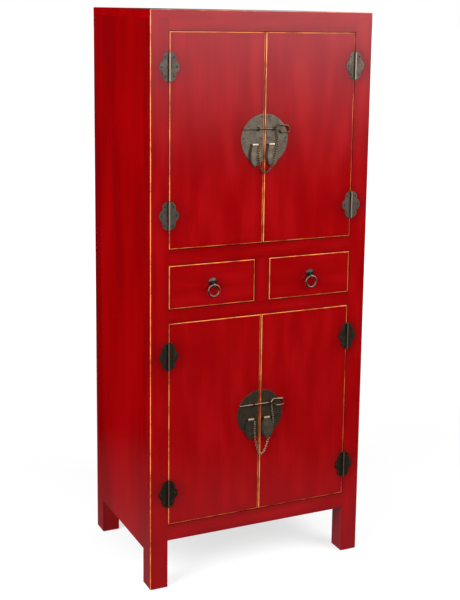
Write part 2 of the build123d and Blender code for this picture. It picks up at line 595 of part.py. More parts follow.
for side, sx in SIDES.items():
    xa, xb = drawer_span(sx)
    xm = (xa + xb) / 2
    zm = (Z_DRAWER + Z_RAIL_2) / 2
    zr = zm + RING_UP
    y1 = Y_FRONT + DRAWER_FRONT_T
    y2 = Y_RAIL_B - DRAWER_BACK_GAP
    front = block(xa + DRAWER_GAP, xb - DRAWER_GAP, Y_FRONT, y1, Z_DRAWER + DRAWER_GAP, Z_RAIL_2 - DRAWER_GAP)
    front = chamfer(front.faces().sort_by(Axis.Y)[0].edges(), FRONT_ARRIS)
    front -= bore(xm, zr, STEM_R + STEM_FIT, DRAWER_FRONT_T + THROUGH, THROUGH)
    save("drawer_front_" + side, front)
    # box: two grooved sides, a back between them and a bottom let into the grooves
    b0 = xa + DRAWER_GAP + DRAWER_SIDE_INSET
    b1 = xb - DRAWER_GAP - DRAWER_SIDE_INSET
    z0 = Z_DRAWER + DRAWER_GAP
    z1 = Z_RAIL_2 - DRAWER_GAP - DRAWER_TOP_DROP
    zb = z0 + DRAWER_BOTTOM_UP
    c0 = b0 + DRAWER_SIDE_T
    c1 = b1 - DRAWER_SIDE_T
    zt = zb + DRAWER_BOTTOM_T
    reach = DRAWER_GROOVE + JOINT_FIT
    groove = block(c0 - reach, c1 + reach, y1, y2, zb - JOINT_FIT, zt + JOINT_FIT)
    left = block(b0, c0, y1, y2, z0, z1) - groove
    right = block(c1, b1, y1, y2, z0, z1) - groove
    back = block(c0, c1, y2 - DRAWER_BACK_T, y2, zt, z1)
    base = block(c0 - DRAWER_GROOVE, c1 + DRAWER_GROOVE, y1, y2, zb, zt)
    save("drawer_box_" + side, left, right, back, base)
    # ring mount: domed rosette, a stem held by a nut inside, and a drooping neck with the ring's eye
    shoulder = (ROSETTE_R * ROSETTE_SHOULDER[0], ROSETTE_H * ROSETTE_SHOULDER[1])
    dome = Plane.XZ * make_face([
        Line((0, 0), (ROSETTE_R, 0)), Line((ROSETTE_R, 0), (ROSETTE_R, ROSETTE_RIM)),
        ThreePointArc((ROSETTE_R, ROSETTE_RIM), shoulder, (0, ROSETTE_H)),
        Line((0, ROSETTE_H), (0, 0))])
    mount = revolve(dome, Axis.Z)
    mount += Pos(0, 0, -(DRAWER_FRONT_T + NUT_T) / 2) * Cylinder(STEM_R, DRAWER_FRONT_T + NUT_T)
    mount += neck((0, 0, ROSETTE_H / 2), (0, -RING_DROP, RING_OUT))
    mount += Pos(0, -RING_DROP, RING_OUT) * Rot(0, 90, 0) * Cylinder(RING_EYE_R, RING_EYE_W)
    mount -= Pos(0, -RING_DROP, RING_OUT) * Rot(0, 90, 0) * Cylinder(RING_WIRE_R + RING_FIT, 4 * RING_EYE_W)
    nut = Cylinder(NUT_R, NUT_T) - Cylinder(STEM_R + STEM_FIT, 2 * NUT_T)
    nut = Pos(0, 0, -DRAWER_FRONT_T - NUT_T / 2) * nut
    save("ring_mount_" + side, FRONT * Pos(xm, zr, 0) * mount, FRONT * Pos(xm, zr, 0) * nut)
    save("ring_" + side, FRONT * Pos(xm, zr - RING_DROP - RING_R, RING_OUT) * Torus(RING_R, RING_WIRE_R))

# ---- carcass ------------------------------------------------------------------------------------
FRAME_HINGES = [(sx, zh) for sx in (-1, 1) for level in ("upper", "lower") for zh in hinge_heights(level)]


def frame_nails(sx):
    return [(sx * (HINGE_X + u), zh + v) for s, zh in FRAME_HINGES if s == sx for u, v in HINGE_NAILS]


for side, sx in SIDES.items():
    holes = [nail_hole(x, z) for x, z in frame_nails(sx)]
    save("post_front_" + side, post(sx, -1, holes))
    save("post_back_" + side, post(sx, 1, []))
    save("side_panel_" + side, side_panel(sx))

save("hinge_leaves_frame", *[hinge_leaf(sx * HINGE_X, zh, sx, FRAME_TURNS) for sx, zh in FRAME_HINGES])
save("hinge_pins", *[hinge_pin(sx * HINGE_X, zh) for sx, zh in FRAME_HINGES])
save("nails_frame", *[nail(x, z) for sx in (-1, 1) for x, z in frame_nails(sx)])

top = block(-WIDTH / 2, WIDTH / 2, Y_FRONT, Y_BACK, Z_POST, HEIGHT)
top = chamfer(top.edges().filter_by(Axis.Z), ARRIS)
top = chamfer(top.faces().sort_by(Axis.Z)[-1].edges(), ARRIS)
save("top_board", top)

# centre stile between the drawers, with a tenon up and a tenon down
stile_t0, stile_t1 = tenon_span(Y_FRONT, Y_RAIL)
stile = block(-CENTRE_STILE_W / 2, CENTRE_STILE_W / 2, Y_FRONT, Y_RAIL, Z_DRAWER, Z_RAIL_2)
stile += block(-STILE_TENON_W / 2, STILE_TENON_W / 2, stile_t0, stile_t1,
               Z_DRAWER - STILE_TENON_L, Z_RAIL_2 + STILE_TENON_L)
socket_x = STILE_TENON_W / 2 + JOINT_FIT
socket = block(-socket_x, socket_x, stile_t0 - JOINT_FIT, stile_t1 + JOINT_FIT,
               Z_DRAWER - STILE_TENON_L - JOINT_FIT, Z_RAIL_2 + STILE_TENON_L + JOINT_FIT)
save("stile_centre", stile)
for name, spec in FRONT_RAILS.items():
    save(name, rail(*spec) - socket)
save("rails_back", *[rail(*spec) for spec in BACK_RAILS])

back_reach = X_IN + BACK_TONGUE_L
save("back_panel", block(-back_reach, back_reach, Y_PANEL_F, Y_PANEL_B, SIDE_BOTTOM, Z_POST))

# floors, drawer deck and partition
save("floor_upper", floor_board(Z_FLOOR_2, Y_RAIL, FLOOR_T))
save("floor_lower", floor_board(Z_FLOOR_1, Y_RAIL, FLOOR_T))
save("deck_drawers", floor_board(Z_DECK - FLOOR_T, Y_RAIL, FLOOR_T))
PARTITION_END = Y_RAIL_B - BOARD_FIT
save("partition_drawers", block(-PARTITION_T / 2, PARTITION_T / 2, Y_RAIL, PARTITION_END, Z_DECK, Z_FLOOR_2))

# one loose shelf in each compartment, half way up
SHELF_Z = [(Z_UPPER + Z_TOP_RAIL) / 2, (Z_APRON + Z_RAIL_1) / 2]
save("shelves", *[floor_board(z, Y_POST_F + BOARD_FIT, SHELF_T) for z in SHELF_Z])

# strips: cleats under every board, drawer runners with a guide on each, and door stops
strips = []
for z in [Z_FLOOR_1, Z_DECK - FLOOR_T, Z_FLOOR_2] + SHELF_Z:
    for sx in (-1, 1):
        xa, xb = sorted((sx * X_SIDE, sx * (X_SIDE - CLEAT)))
        strips.append(block(xa, xb, Y_POST_F, Y_POST_B, z - CLEAT, z))
for sx in (-1, 1):
    near = CENTRE_STILE_W / 2 + DRAWER_GAP + DRAWER_SIDE_INSET
    far = X_IN - DRAWER_GAP - DRAWER_SIDE_INSET
    for wall, edge, inward in ((PARTITION_T / 2, near, 1), (X_SIDE, far, -1)):
        xa, xb = sorted((sx * wall, sx * (edge + inward * RUNNER_W)))
        xc, xd = sorted((sx * wall, sx * (edge - inward * RUNNER_GAP)))
        strips.append(block(xa, xb, Y_POST_F, Y_POST_B, Z_DECK, Z_RUNNER))
        strips.append(block(xc, xd, Y_POST_F, Y_POST_B, Z_RUNNER, Z_RUNNER + RUNNER_GUIDE_H))
y_stop = Y_FRONT + DOOR_T + STOP_GAP
for z in (Z_TOP_RAIL - STOP_H, Z_UPPER, Z_RAIL_1 - STOP_H, Z_APRON):
    strips.append(block(-X_IN, X_IN, y_stop, y_stop + STOP_T, z, z + STOP_H))
save("strips_inner", *strips)
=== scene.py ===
"""Tall red-lacquered wedding cabinet with aged brass hardware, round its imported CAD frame."""
import json
import math

import bmesh
import bpy
from mathutils import Matrix, Vector
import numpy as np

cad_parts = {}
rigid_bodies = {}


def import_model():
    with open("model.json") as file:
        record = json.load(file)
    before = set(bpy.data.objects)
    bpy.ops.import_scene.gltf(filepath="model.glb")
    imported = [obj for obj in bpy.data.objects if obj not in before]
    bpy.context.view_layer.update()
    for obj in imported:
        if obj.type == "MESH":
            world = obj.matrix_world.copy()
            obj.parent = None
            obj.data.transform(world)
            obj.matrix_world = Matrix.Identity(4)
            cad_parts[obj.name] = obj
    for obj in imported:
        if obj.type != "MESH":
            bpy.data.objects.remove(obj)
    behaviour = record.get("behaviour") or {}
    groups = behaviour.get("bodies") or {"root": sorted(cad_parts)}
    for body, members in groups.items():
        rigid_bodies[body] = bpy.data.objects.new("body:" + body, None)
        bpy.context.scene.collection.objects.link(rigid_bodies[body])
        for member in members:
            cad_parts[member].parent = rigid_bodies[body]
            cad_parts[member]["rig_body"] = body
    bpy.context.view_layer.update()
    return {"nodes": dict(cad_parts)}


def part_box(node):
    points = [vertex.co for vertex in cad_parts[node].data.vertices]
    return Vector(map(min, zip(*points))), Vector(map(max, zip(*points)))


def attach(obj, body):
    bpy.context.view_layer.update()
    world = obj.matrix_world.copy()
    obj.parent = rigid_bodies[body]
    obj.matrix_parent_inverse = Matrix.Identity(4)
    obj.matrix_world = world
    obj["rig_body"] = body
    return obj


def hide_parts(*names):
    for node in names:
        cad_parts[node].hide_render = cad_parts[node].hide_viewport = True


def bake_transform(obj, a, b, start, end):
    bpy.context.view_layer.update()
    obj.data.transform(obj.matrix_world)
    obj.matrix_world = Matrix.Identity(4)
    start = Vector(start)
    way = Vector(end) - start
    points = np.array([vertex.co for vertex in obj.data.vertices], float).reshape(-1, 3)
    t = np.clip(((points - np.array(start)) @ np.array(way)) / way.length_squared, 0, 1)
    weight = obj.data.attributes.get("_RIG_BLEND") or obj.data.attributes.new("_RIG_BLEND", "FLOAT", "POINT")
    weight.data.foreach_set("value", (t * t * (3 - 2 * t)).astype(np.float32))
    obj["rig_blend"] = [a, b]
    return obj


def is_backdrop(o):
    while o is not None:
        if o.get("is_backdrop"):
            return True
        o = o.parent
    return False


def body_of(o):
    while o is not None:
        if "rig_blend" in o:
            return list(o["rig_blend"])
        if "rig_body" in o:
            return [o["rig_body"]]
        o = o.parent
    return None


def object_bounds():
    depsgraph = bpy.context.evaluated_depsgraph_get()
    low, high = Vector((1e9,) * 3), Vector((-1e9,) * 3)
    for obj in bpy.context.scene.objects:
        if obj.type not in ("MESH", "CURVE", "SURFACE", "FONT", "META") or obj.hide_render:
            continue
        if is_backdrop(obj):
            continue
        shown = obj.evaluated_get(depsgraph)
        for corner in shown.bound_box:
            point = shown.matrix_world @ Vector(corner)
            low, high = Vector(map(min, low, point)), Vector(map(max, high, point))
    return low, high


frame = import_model()
MM = 0.001

# ---- carcass --------------------------------------------------------------------------------
# Elm posts, rails, side panels and top board, jointed and then lacquered as one: an ochre ground,
# thin coats of red brushed along each board, and a dark wax that lies in the corners, with painted
# shade darkening the same edges where boards meet.  What the eye gets is a deep even red with faint
# streaks, and a bare ochre line where an edge is rubbed.


def linear(hex_colour):
    """An sRGB hex colour as the linear colour that Blender works in."""
    shares = [int(hex_colour[i:i + 2], 16) / 255 for i in (1, 3, 5)]
    return [c / 12.92 if c <= 0.04045 else ((c + 0.055) / 1.055) ** 2.4 for c in shares] + [1.0]


def add(tree, kind, inputs=(), out=0, stops=(), **settings):
    """Adds a node with its settings, its inputs as values or links, and its ramp's stops."""
    made = tree.nodes.new("ShaderNode" + kind)
    for key, value in settings.items():
        setattr(made, key, value)
    for key, value in (inputs.items() if isinstance(inputs, dict) else enumerate(inputs)):
        if isinstance(value, bpy.types.NodeSocket):
            tree.links.new(value, made.inputs[key])
        else:
            made.inputs[key].default_value = value
    for i, (position, colour) in enumerate(stops):
        stop = made.color_ramp.elements[i] if i < 2 else made.color_ramp.elements.new(position)
        stop.position, stop.color = position, linear(colour)
    return made.outputs[out]


def start_material(name):
    """A new material, its node tree, its shader and the piece's own coordinates."""
    made = bpy.data.materials.new(name)
    made.use_nodes = True
    tree = made.node_tree
    place = add(tree, "TexCoord", out=3)
    return made, tree, tree.nodes["Principled BSDF"], place


def paint(node, made):
    """Gives a CAD node its material."""
    piece = frame["nodes"][node]
    piece.data.materials.clear()
    piece.data.materials.append(made)


RED = "#8B0002"
RED_CLEAR = "#940004"           # where the coats lie thin
RED_DARK = "#850003"            # where they run thick
RED_SIDE = "#7E0002"            # thick coats on the sides, which were brushed with less care
OCHRE_PALE = "#EC8C49"
OCHRE_DULL = "#B9592C"
OCHRE_SOILED = "#A35F2C"        # darker down in a seam, from dirt and painted shade
# dark wax, also used as painted shade along the edges where boards meet
WAX = "#3A0204"
ACROSS, DEEP, UPRIGHT = 0, 1, 2
STREAKS_PER_M = 170.0           # bristle marks 6 mm apart, coarse enough to show
STREAK_DRAWN = 0.03             # how much slower they change along the stroke
CLOUDS_PER_M = 26.0             # the brush is recharged, and the coat changes, each 38 mm
SIDE_CLOUDS_PER_M = 9.0         # a wider brush on the sides, each 110 mm
CLOUD_DRAWN = 0.25
NOISE_LOW, NOISE_HIGH = 0.35, 0.65      # nearly all of a noise's values lie between these
PATCHES_PER_M = 28.0            # a polishing rag's dabs, 36 mm
RAGGED = 14 * MM                # how far they shift the edge of the wax
# a band of wax and painted shade is full this near its edge and gone this far
WAX_FULL, WAX_GONE = 5 * MM, 23 * MM
RING_FULL, RING_FADE = 0.55, 18 * MM        # a share of the ring's radius, and past it
RING_DEPTH, RING_BACK = 4 * MM, 8 * MM      # it stays on the front of a board
RUB_LEAST, RUB_MOST = 0.7 * MM, 1.05 * MM   # for each mm of a rubbed edge's width
RUB_BLUR = 0.25 * MM
# between these depths down a seam the ochre darkens with dirt and painted shade
SEAM_CLEAN, SEAM_SOILED = 1.3 * MM, 2.2 * MM
GLOSS_MOST, GLOSS_LEAST = 0.14, 0.18        # as roughness
BRISTLE_DEEP = 0.03 * MM


def off_face(tree, coordinate, at):
    """The distance from a flat face at a place along one axis."""
    off = add(tree, "Math", (coordinate, at), operation="SUBTRACT")
    return add(tree, "Math", (off,), operation="ABSOLUTE")


def lacquer(name, strokes, front=None, rubbed=(), width=1.0, waxed=(), handled=(), dark=RED_DARK,
            even=0.7, clouds_per_m=CLOUDS_PER_M):
    """Red lacquer brushed along one axis: glossy and deep, with streaks so faint that it reads as even.
    front is the (axis, place) of the face that is seen.  rubbed lists (axis, place, how much depth
    counts) of side faces along an ochre line of that width in mm.  The wax list gives (axis, place,
    strength) of edges darkened by wax and painted shade together, and handled (x, z, radius, strength)
    of the dark rings that polishing leaves round the hardware.
    even is the clouds' part against the streaks'."""
    made, tree, shader, place = start_material(name)
    axes = [add(tree, "SeparateXYZ", (place,), out=i) for i in range(3)]
    streak_scale, cloud_scale = [1.0, 1.0, 1.0], [1.0, 1.0, 1.0]
    streak_scale[strokes], cloud_scale[strokes] = STREAK_DRAWN, CLOUD_DRAWN
    drawn = add(tree, "Mapping", {"Vector": place, "Scale": streak_scale})
    streaks = add(tree, "TexNoise", {"Vector": drawn, "Scale": STREAKS_PER_M, "Detail": 3.0,
                                     "Roughness": 0.55})
    drawn = add(tree, "Mapping", {"Vector": place, "Scale": cloud_scale})
    clouds = add(tree, "TexNoise", {"Vector": drawn, "Scale": clouds_per_m, "Detail": 1.0,
                                    "Roughness": 0.5})
    both = add(tree, "Mix", {0: even, 2: streaks, 3: clouds}, data_type="FLOAT")
    colour = add(tree, "ValToRGB", (both,), stops=[(0.36, dark), (0.64, RED_CLEAR), (0.5, RED)])
    patches = add(tree, "TexNoise", {"Vector": place, "Scale": PATCHES_PER_M, "Detail": 4.0,
                                     "Roughness": 0.6})
    # dark bands along these edges: wax, and painted shade where a board meets its neighbour
    for axis, at, share in waxed:
        off = off_face(tree, axes[axis], at)
        ragged = add(tree, "Math", (patches, RAGGED, off), operation="MULTIPLY_ADD")
        lies = add(tree, "MapRange", (ragged, WAX_FULL, WAX_GONE, share, 0.0),
                   interpolation_type="SMOOTHSTEP")
        colour = add(tree, "Mix", {0: lies, 6: colour, 7: linear(WAX)}, out=2, data_type="RGBA")
    if front:
        depth = off_face(tree, axes[front[0]], front[1])
    for at_x, at_z, radius, share in handled:
        flat = add(tree, "Mapping", {"Vector": place, "Scale": (1.0, 0.0, 1.0)})
        gap = add(tree, "VectorMath", (flat, (at_x, 0.0, at_z)), out=1, operation="DISTANCE")
        ragged = add(tree, "Math", (patches, RAGGED, gap), operation="MULTIPLY_ADD")
        share = add(tree, "MapRange", (depth, RING_DEPTH, RING_BACK, share, 0.0))
        lies = add(tree, "MapRange", (ragged, RING_FULL * radius, radius + RING_FADE, share, 0.0),
                   interpolation_type="SMOOTHSTEP")
        colour = add(tree, "Mix", {0: lies, 6: colour, 7: linear(WAX)}, out=2, data_type="RGBA")
    if rubbed:
        nearest = None
        for axis, at, share in rubbed:
            off = off_face(tree, axes[axis], at)
            inside = add(tree, "Math", (depth, share), operation="MULTIPLY")
            edge = add(tree, "Math", (off, inside), operation="MAXIMUM")
            nearest = add(tree, "Math", (nearest, edge), operation="MINIMUM") if nearest else edge
        reach = add(tree, "MapRange", (patches, 0.3, 0.6, RUB_LEAST * width, RUB_MOST * width))
        short = add(tree, "Math", (reach, nearest), operation="SUBTRACT")
        bare = add(tree, "MapRange", (short, -RUB_BLUR, RUB_BLUR))
        ochre = add(tree, "ValToRGB", (patches,), stops=[(0.34, OCHRE_DULL), (0.54, OCHRE_PALE)])
        # painted shade with dirt: the ochre darkens further down a seam's flank
        soiled = add(tree, "MapRange", (depth, SEAM_CLEAN, SEAM_SOILED, 0.0, 0.9))
        ochre = add(tree, "Mix", {0: soiled, 6: ochre, 7: linear(OCHRE_SOILED)}, out=2,
                    data_type="RGBA")
        colour = add(tree, "Mix", {0: bare, 6: colour, 7: ochre}, out=2, data_type="RGBA")
    tree.links.new(colour, shader.inputs["Base Color"])
    rough = add(tree, "MapRange", (clouds, NOISE_LOW, NOISE_HIGH, GLOSS_MOST, GLOSS_LEAST))
    tree.links.new(rough, shader.inputs["Roughness"])
    bump = add(tree, "Bump", {"Height": streaks, "Strength": 0.1, "Distance": BRISTLE_DEEP})
    tree.links.new(bump, shader.inputs["Normal"])
    return made


def board(node, strokes, **edges):
    """Lacquers one board along its length."""
    paint(node, lacquer("red_lacquer_" + node, strokes, **edges))


POST_OUT, POST_IN = 270 * MM, 228 * MM      # a post's faces, from the middle of the cabinet
STILE_HALF = 17 * MM
POST_LINE = {"left": 1.3, "right": 0.6}     # widths of the ochre lines, in mm
TOP_LINE = 1.1
HINGE_INSET = 75 * MM                       # from a door's end to the middle of its hinge
HINGE_RING, PLATE_RING, MOUNT_RING = 46 * MM, 88 * MM, 36 * MM
hinge_heights = [z for door in ("door_upper_left", "door_lower_left")
                 for z in (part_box(door)[0].z + HINGE_INSET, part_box(door)[1].z - HINGE_INSET)]
for side, sign in (("left", -1), ("right", 1)):
    x_out, x_in = sign * POST_OUT, sign * POST_IN
    low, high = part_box("post_front_" + side)
    board("post_front_" + side, UPRIGHT, front=(DEEP, low.y), rubbed=[(ACROSS, x_out, 1.0)],
          width=POST_LINE[side], waxed=[(ACROSS, x_in, 0.15), (ACROSS, x_out, 0.25)],
          handled=[(x_in, z, HINGE_RING, 0.35) for z in hinge_heights], even=0.85)
    board("post_back_" + side, UPRIGHT, waxed=[(ACROSS, x_out, 0.25)], dark=RED_SIDE, even=0.9,
          clouds_per_m=SIDE_CLOUDS_PER_M)
    board("side_panel_" + side, UPRIGHT, dark=RED_SIDE, even=0.9, clouds_per_m=SIDE_CLOUDS_PER_M)
low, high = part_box("rail_front_top")
board("rail_front_top", ACROSS, waxed=[(UPRIGHT, low.z, 0.25)])
for node in ("rail_front_upper", "rail_front_lower", "apron_front"):
    low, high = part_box(node)
    board(node, ACROSS, waxed=[(UPRIGHT, low.z, 0.3), (UPRIGHT, high.z, 0.3)])
board("stile_centre", UPRIGHT, waxed=[(ACROSS, -STILE_HALF, 0.4), (ACROSS, STILE_HALF, 0.4)])
low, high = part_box("top_board")
board("top_board", ACROSS, front=(DEEP, low.y), rubbed=[(ACROSS, low.x, 1.0), (UPRIGHT, high.z, 1.0)],
      width=TOP_LINE)

# ---- doors and drawer fronts ----------------------------------------------------------------
# Flush boards lacquered with the carcass.  Hands and neighbours rub their edges first, so each
# front is drawn round with a thin ochre line, deeper on the flanks where two doors meet.
LEVELS, SIDES = ("upper", "lower"), ("left", "right")
LOCK_HEIGHT = {"upper": 1028.0 * MM, "lower": 388.5 * MM}       # the lock plates' middles
FRONT_LINE = 1.6                # width of the ochre line, in mm
MEETING = 0.3                   # depth counts this little where two doors meet: the line runs deep


def front_board(node, strokes, left, right, handled):
    """Lacquers a door or drawer front, with shares of the ochre line for its left and right edges."""
    low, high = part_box(node)
    board(node, strokes, front=(DEEP, low.y), width=FRONT_LINE,
          rubbed=[(ACROSS, low.x, left), (ACROSS, high.x, right),
                  (UPRIGHT, low.z, 1.0), (UPRIGHT, high.z, 1.0)],
          waxed=[(ACROSS, low.x, 0.15), (ACROSS, high.x, 0.15),
                 (UPRIGHT, low.z, 0.2), (UPRIGHT, high.z, 0.12)], handled=handled)


for level in LEVELS:
    for side in SIDES:
        node = "door_" + level + "_" + side
        low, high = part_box(node)
        hung = low.x if side == "left" else high.x
        left, right = (1.0, MEETING) if side == "left" else (MEETING, 1.0)
        front_board(node, UPRIGHT, left, right, [(hung, low.z + HINGE_INSET, HINGE_RING, 0.28),
                                                 (hung, high.z - HINGE_INSET, HINGE_RING, 0.28),
                                                 (0.0, LOCK_HEIGHT[level], PLATE_RING, 0.25)])
for side in SIDES:
    node = "drawer_front_" + side
    low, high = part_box(node)
    front_board(node, ACROSS, 1.0, 1.0, [((low.x + high.x) / 2, (low.z + high.z) / 2, MOUNT_RING, 0.2)])

# ---- inside ---------------------------------------------------------------------------------
# Floors, shelves, back, rails and drawer boxes: plain elm boards, pegged together, stained dark
# and left matt.
GRAIN_PER_M = 110.0             # growth rings 9 mm apart, as on a board sawn near the bark
GRAIN_DRAWN = 0.025
PORE_DEEP = 0.3 * MM
MATT = 0.6                      # roughness of stained wood without a finish


def stained_wood(name, grain_axis, on_fronts=None):
    """Wood whose grain runs along one axis, and along another on faces to the front and back: matt
    brown with dark lines."""
    made, tree, shader, place = start_material(name)
    scale = [1.0, 1.0, 1.0]
    scale[grain_axis] = GRAIN_DRAWN
    grain = add(tree, "Mapping", {"Vector": place, "Scale": scale})
    if on_fronts is not None:
        scale = [1.0, 1.0, 1.0]
        scale[on_fronts] = GRAIN_DRAWN
        turned = add(tree, "Mapping", {"Vector": place, "Scale": scale})
        facing = add(tree, "SeparateXYZ", (add(tree, "TexCoord", out=1),), out=1)
        facing = add(tree, "Math", (facing,), operation="ABSOLUTE")
        front = add(tree, "Math", (facing, 0.5), operation="GREATER_THAN")
        grain = add(tree, "Mix", {0: front, 4: grain, 5: turned}, out=1, data_type="VECTOR")
    rings = add(tree, "TexNoise", {"Vector": grain, "Scale": GRAIN_PER_M, "Detail": 5.0,
                                   "Roughness": 0.55, "Distortion": 0.3})
    colour = add(tree, "ValToRGB", (rings,),
                 stops=[(0.3, "#4E3020"), (0.7, "#7F5840"), (0.5, "#6A442F")])
    tree.links.new(colour, shader.inputs["Base Color"])
    shader.inputs["Roughness"].default_value = MATT
    bump = add(tree, "Bump", {"Height": rings, "Strength": 0.2, "Distance": PORE_DEEP})
    tree.links.new(bump, shader.inputs["Normal"])
    return made


wood_across = stained_wood("stained_elm_across", ACROSS)
wood_upright = stained_wood("stained_elm_upright", UPRIGHT)
wood_deep = stained_wood("stained_elm_deep", DEEP, on_fronts=ACROSS)
for wood, nodes in ((wood_across, ("floor_upper", "floor_lower", "deck_drawers", "shelves", "rails_back")),
                    (wood_deep, ("partition_drawers", "strips_inner", "drawer_box_left",
                                 "drawer_box_right")),
                    (wood_upright, ("back_panel",))):
    for node in nodes:
        paint(node, wood)

# ---- hinges and lock plates -----------------------------------------------------------------
# Sheet brass cut by hand, pickled brown and nailed on.  The sheet is dark and dull with a paler
# worn rim; the hinge barrels stand proud, so hands keep them bright, and their flanks are painted
# black as shadow.
FRONT_Y = -193.0 * MM           # the doors' faces, which all brass is nailed to
BLOTCHES_PER_M = 75.0           # pools of the pickling bath, 13 mm
SPECKS_PER_M = 600.0            # pits, 1.7 mm
SPECK_SHARE = 0.3               # their part in the colour
# the black of painted shade, beside hinge barrels and under rods
DIRT = "#0D0907"
SHEET_TOP, BARREL_FOOT = 1.25 * MM, 1.5 * MM    # painted shade starts where the barrel leaves the sheet
LIT_SIDE, DARK_SIDE = 0.15, -0.25               # how far a rod's surface faces up, from its lit top to its painted shade below
PIT_DEEP = 0.3 * MM


def aged_metal(name, dark, mid, light, worn=None, proud=(2.0, 4.0), metallic=0.85, rough=(0.55, 0.4),
               dirt=None):
    """Brass or iron gone dark and blotched, with soft dull lights.  With a worn colour it is rubbed to that
    where it stands further out of the wood than proud, in mm.  Its painted shade is "flanks", a painted
    shadow black beside a barrel, or "underside", painted shade black under a rod.  rough is the
    roughness of its dark and of its light spots."""
    made, tree, shader, place = start_material(name)
    blotches = add(tree, "TexNoise", {"Vector": place, "Scale": BLOTCHES_PER_M, "Detail": 6.0,
                                      "Roughness": 0.62})
    specks = add(tree, "TexNoise", {"Vector": place, "Scale": SPECKS_PER_M, "Detail": 3.0,
                                    "Roughness": 0.6})
    both = add(tree, "Mix", {0: SPECK_SHARE, 2: blotches, 3: specks}, data_type="FLOAT")
    colour = add(tree, "ValToRGB", (both,), stops=[(0.32, dark), (0.68, light), (0.5, mid)])
    if worn:
        y = add(tree, "SeparateXYZ", (place,), out=1)
        out = add(tree, "Math", (FRONT_Y, y), operation="SUBTRACT")
        # painted shadow: black on a barrel's flanks, out from the sheet up to its worn top
        if dirt == "flanks":
            black = add(tree, "MapRange", (out, SHEET_TOP, BARREL_FOOT))
            colour = add(tree, "Mix", {0: black, 6: colour, 7: linear(DIRT)}, out=2, data_type="RGBA")
        bright = add(tree, "MapRange", (out, proud[0] * MM, proud[1] * MM))
        colour = add(tree, "Mix", {0: bright, 6: colour, 7: linear(worn)}, out=2, data_type="RGBA")
    # painted shade: a rod goes black where it faces down
    if dirt == "underside":
        facing = add(tree, "SeparateXYZ", (add(tree, "TexCoord", out=1),), out=2)
        black = add(tree, "MapRange", (facing, LIT_SIDE, DARK_SIDE))
        colour = add(tree, "Mix", {0: black, 6: colour, 7: linear(DIRT)}, out=2, data_type="RGBA")
    tree.links.new(colour, shader.inputs["Base Color"])
    shader.inputs["Metallic"].default_value = metallic
    roughness = add(tree, "MapRange", (both, NOISE_LOW, NOISE_HIGH, *rough))
    tree.links.new(roughness, shader.inputs["Roughness"])
    bump = add(tree, "Bump", {"Height": both, "Strength": 0.35, "Distance": PIT_DEEP})
    tree.links.new(bump, shader.inputs["Normal"])
    return made


RIM_ANGLE = math.radians(50)    # a sheet's rim turns more than this, its faces less
SMOOTH_ANGLE = math.radians(22)
HOLE_SPAN = 6.0 * MM            # no hole in a sheet is this wide


def outline_edges(shape):
    """The sharp edges round the pieces' outlines, without those round their small holes."""
    left = {e for e in shape.edges if e.is_manifold and e.calc_face_angle() > RIM_ANGLE}
    kept = []
    while left:
        group = [left.pop()]
        for edge in group:
            near = {e for v in edge.verts for e in v.link_edges} & left
            left -= near
            group += near
        spots = [v.co for e in group for v in e.verts]
        if max((a - spots[0]).length for a in spots) > HOLE_SPAN:
            kept += group
    return kept


WELD = 0.002 * MM
FLAT_ANGLE = math.radians(1)


def eased_copy(node, name, made, width):
    """A merged copy of a sheet node with its sharp rims eased, in the node's place and on its body."""
    source = frame["nodes"][node]
    data = source.data.copy()
    data.name = name
    shape = bmesh.new()
    shape.from_mesh(data)
    bmesh.ops.remove_doubles(shape, verts=shape.verts, dist=WELD)
    bmesh.ops.dissolve_limit(shape, angle_limit=FLAT_ANGLE, verts=shape.verts, edges=shape.edges)
    rims = outline_edges(shape)
    bmesh.ops.bevel(shape, geom=rims, offset=width, offset_type="OFFSET", segments=2, profile=0.5,
                    affect="EDGES", clamp_overlap=True, material=-1)
    bmesh.ops.dissolve_degenerate(shape, dist=WELD, edges=shape.edges)
    for face in shape.faces:
        face.smooth = True
    shape.to_mesh(data)
    shape.free()
    data.set_sharp_from_angle(angle=SMOOTH_ANGLE)
    data.materials.clear()
    data.materials.append(made)
    return hang(name, data, body_of(source)[0], "aged_brass", node)


def hang(name, data, body, slot, *nodes):
    """Puts a mesh in the scene on its body, in place of the CAD nodes that it stands for."""
    piece = bpy.data.objects.new(name, data)
    bpy.context.scene.collection.objects.link(piece)
    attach(piece, body)
    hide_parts(*nodes)
    return piece


# the upper doors' brass is paler than the lower doors'
PLATE_BRASS = {
    "upper": aged_metal("pickled_sheet_brass", "#4A4035", "#5F5549", "#726656", "#A08C74"),
    "lower": aged_metal("dark_sheet_brass", "#372E24", "#4A3F32", "#5D5141", "#6E6150")}
HINGE_BRASS = {
    "upper": aged_metal("pickled_hinge_brass", "#3F3831", "#544C44", "#685F54", "#A08C74",
                        proud=(4.3, 5.0), dirt="flanks"),
    "lower": aged_metal("dark_hinge_brass", "#271F17", "#362C21", "#4A3E30", "#75654F",
                        proud=(4.3, 5.0), dirt="flanks")}
HINGE_EASE, PLATE_EASE = 0.25 * MM, 0.4 * MM
MID_HEIGHT = 700 * MM           # between the upper and the lower hinges
frame_leaves = eased_copy("hinge_leaves_frame", "frame_hinge_leaves", HINGE_BRASS["upper"], HINGE_EASE)
frame_leaves.data.materials.append(HINGE_BRASS["lower"])
for face in frame_leaves.data.polygons:
    if face.center.z < MID_HEIGHT:
        face.material_index = 1
for level in LEVELS:
    for side in SIDES:
        tag = level + "_" + side
        eased_copy("hinge_leaves_" + tag, "door_hinge_leaves_" + tag, HINGE_BRASS[level], HINGE_EASE)
        eased_copy("lock_plate_" + tag, "half_lock_plate_" + tag, PLATE_BRASS[level], PLATE_EASE)

